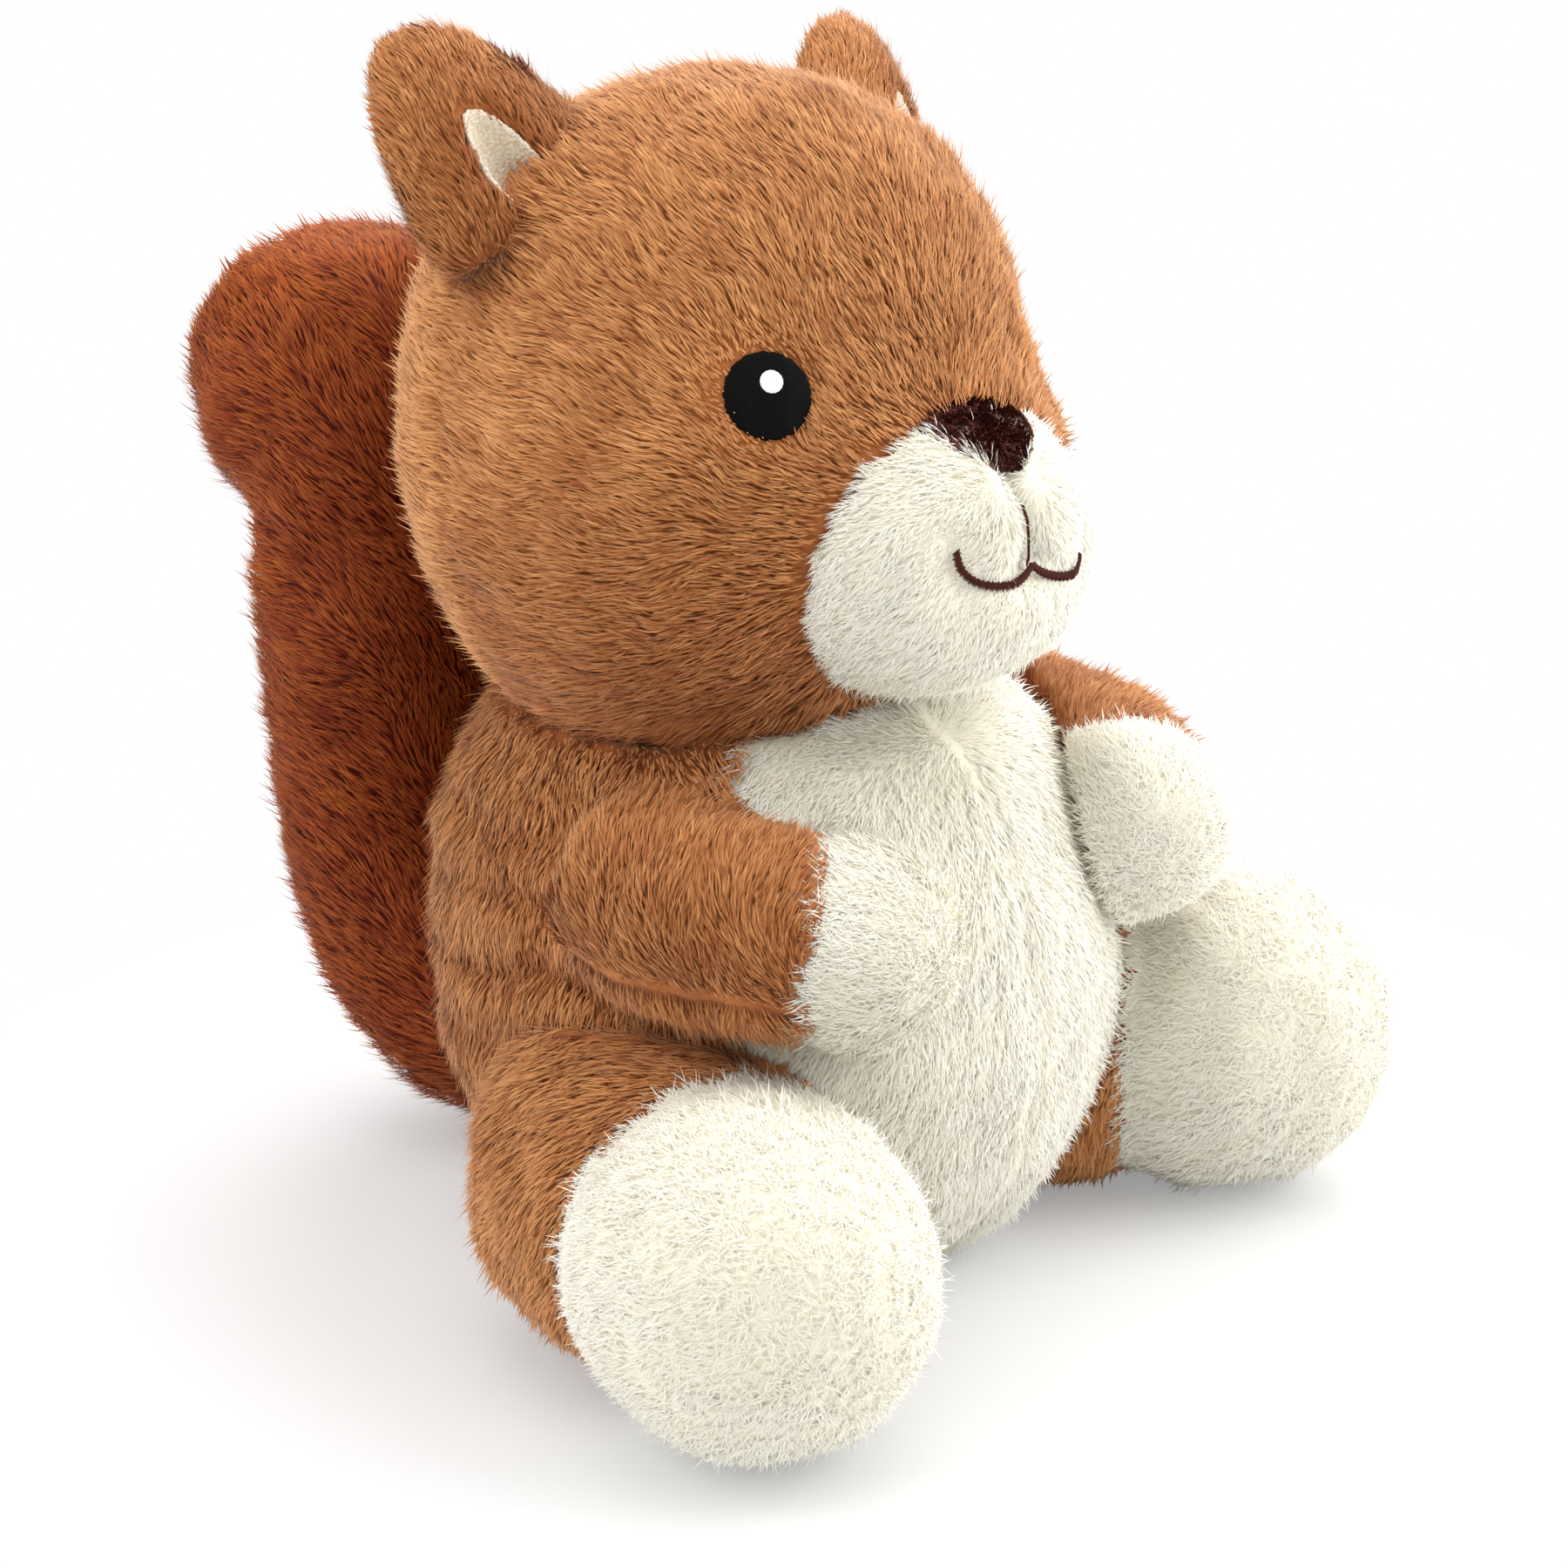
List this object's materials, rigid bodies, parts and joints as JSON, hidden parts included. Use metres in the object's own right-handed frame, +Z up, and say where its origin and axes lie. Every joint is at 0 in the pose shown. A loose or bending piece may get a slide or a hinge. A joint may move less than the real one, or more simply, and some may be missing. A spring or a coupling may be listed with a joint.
{
  "type": "plush squirrel dog toy",
  "caption": "Soft stuffed squirrel toy for a dog, sitting with its legs forward and its bushy tail curled up behind its back.",
  "frame": {"origin": "on the toy's middle line, in the plane of the flat underside that it sits on", "axes": "+Z up, the toy looks along -Y, and its own left side is at +X"},
  "size_m": [0.2144, 0.2366, 0.2407],
  "materials": {
    "brown_plush": "long soft pile, light tips over darker roots",
    "russet_plush": "long soft pile, dark red brown",
    "cream_plush": "long soft pile, off-white",
    "lining_cloth": "coarse woven cloth with a slight sparkle",
    "nose_velour": "short dense pile",
    "eye_thread": "satin-stitched thread, slight sheen",
    "glint_thread": "satin-stitched thread",
    "mouth_thread": "satin-stitched thread"
  },
  "bodies": {
    "root": {"head": "brown_plush", "muzzle": "cream_plush", "nose": "nose_velour", "mouth_stitching": "mouth_thread", "eye_right": "eye_thread", "eye_left": "eye_thread", "eye_glint_right": "glint_thread", "eye_glint_left": "glint_thread", "ear_right": "brown_plush", "ear_left": "brown_plush", "ear_lining_right": "lining_cloth", "ear_lining_left": "lining_cloth", "torso": "brown_plush", "belly_panel": "cream_plush", "arm_right": "brown_plush", "arm_left": "brown_plush", "paw_right": "cream_plush", "paw_left": "cream_plush", "leg_right": "brown_plush", "leg_left": "brown_plush", "foot_right": "cream_plush", "foot_left": "cream_plush", "tail": "russet_plush"}
  },
  "joints": []
}
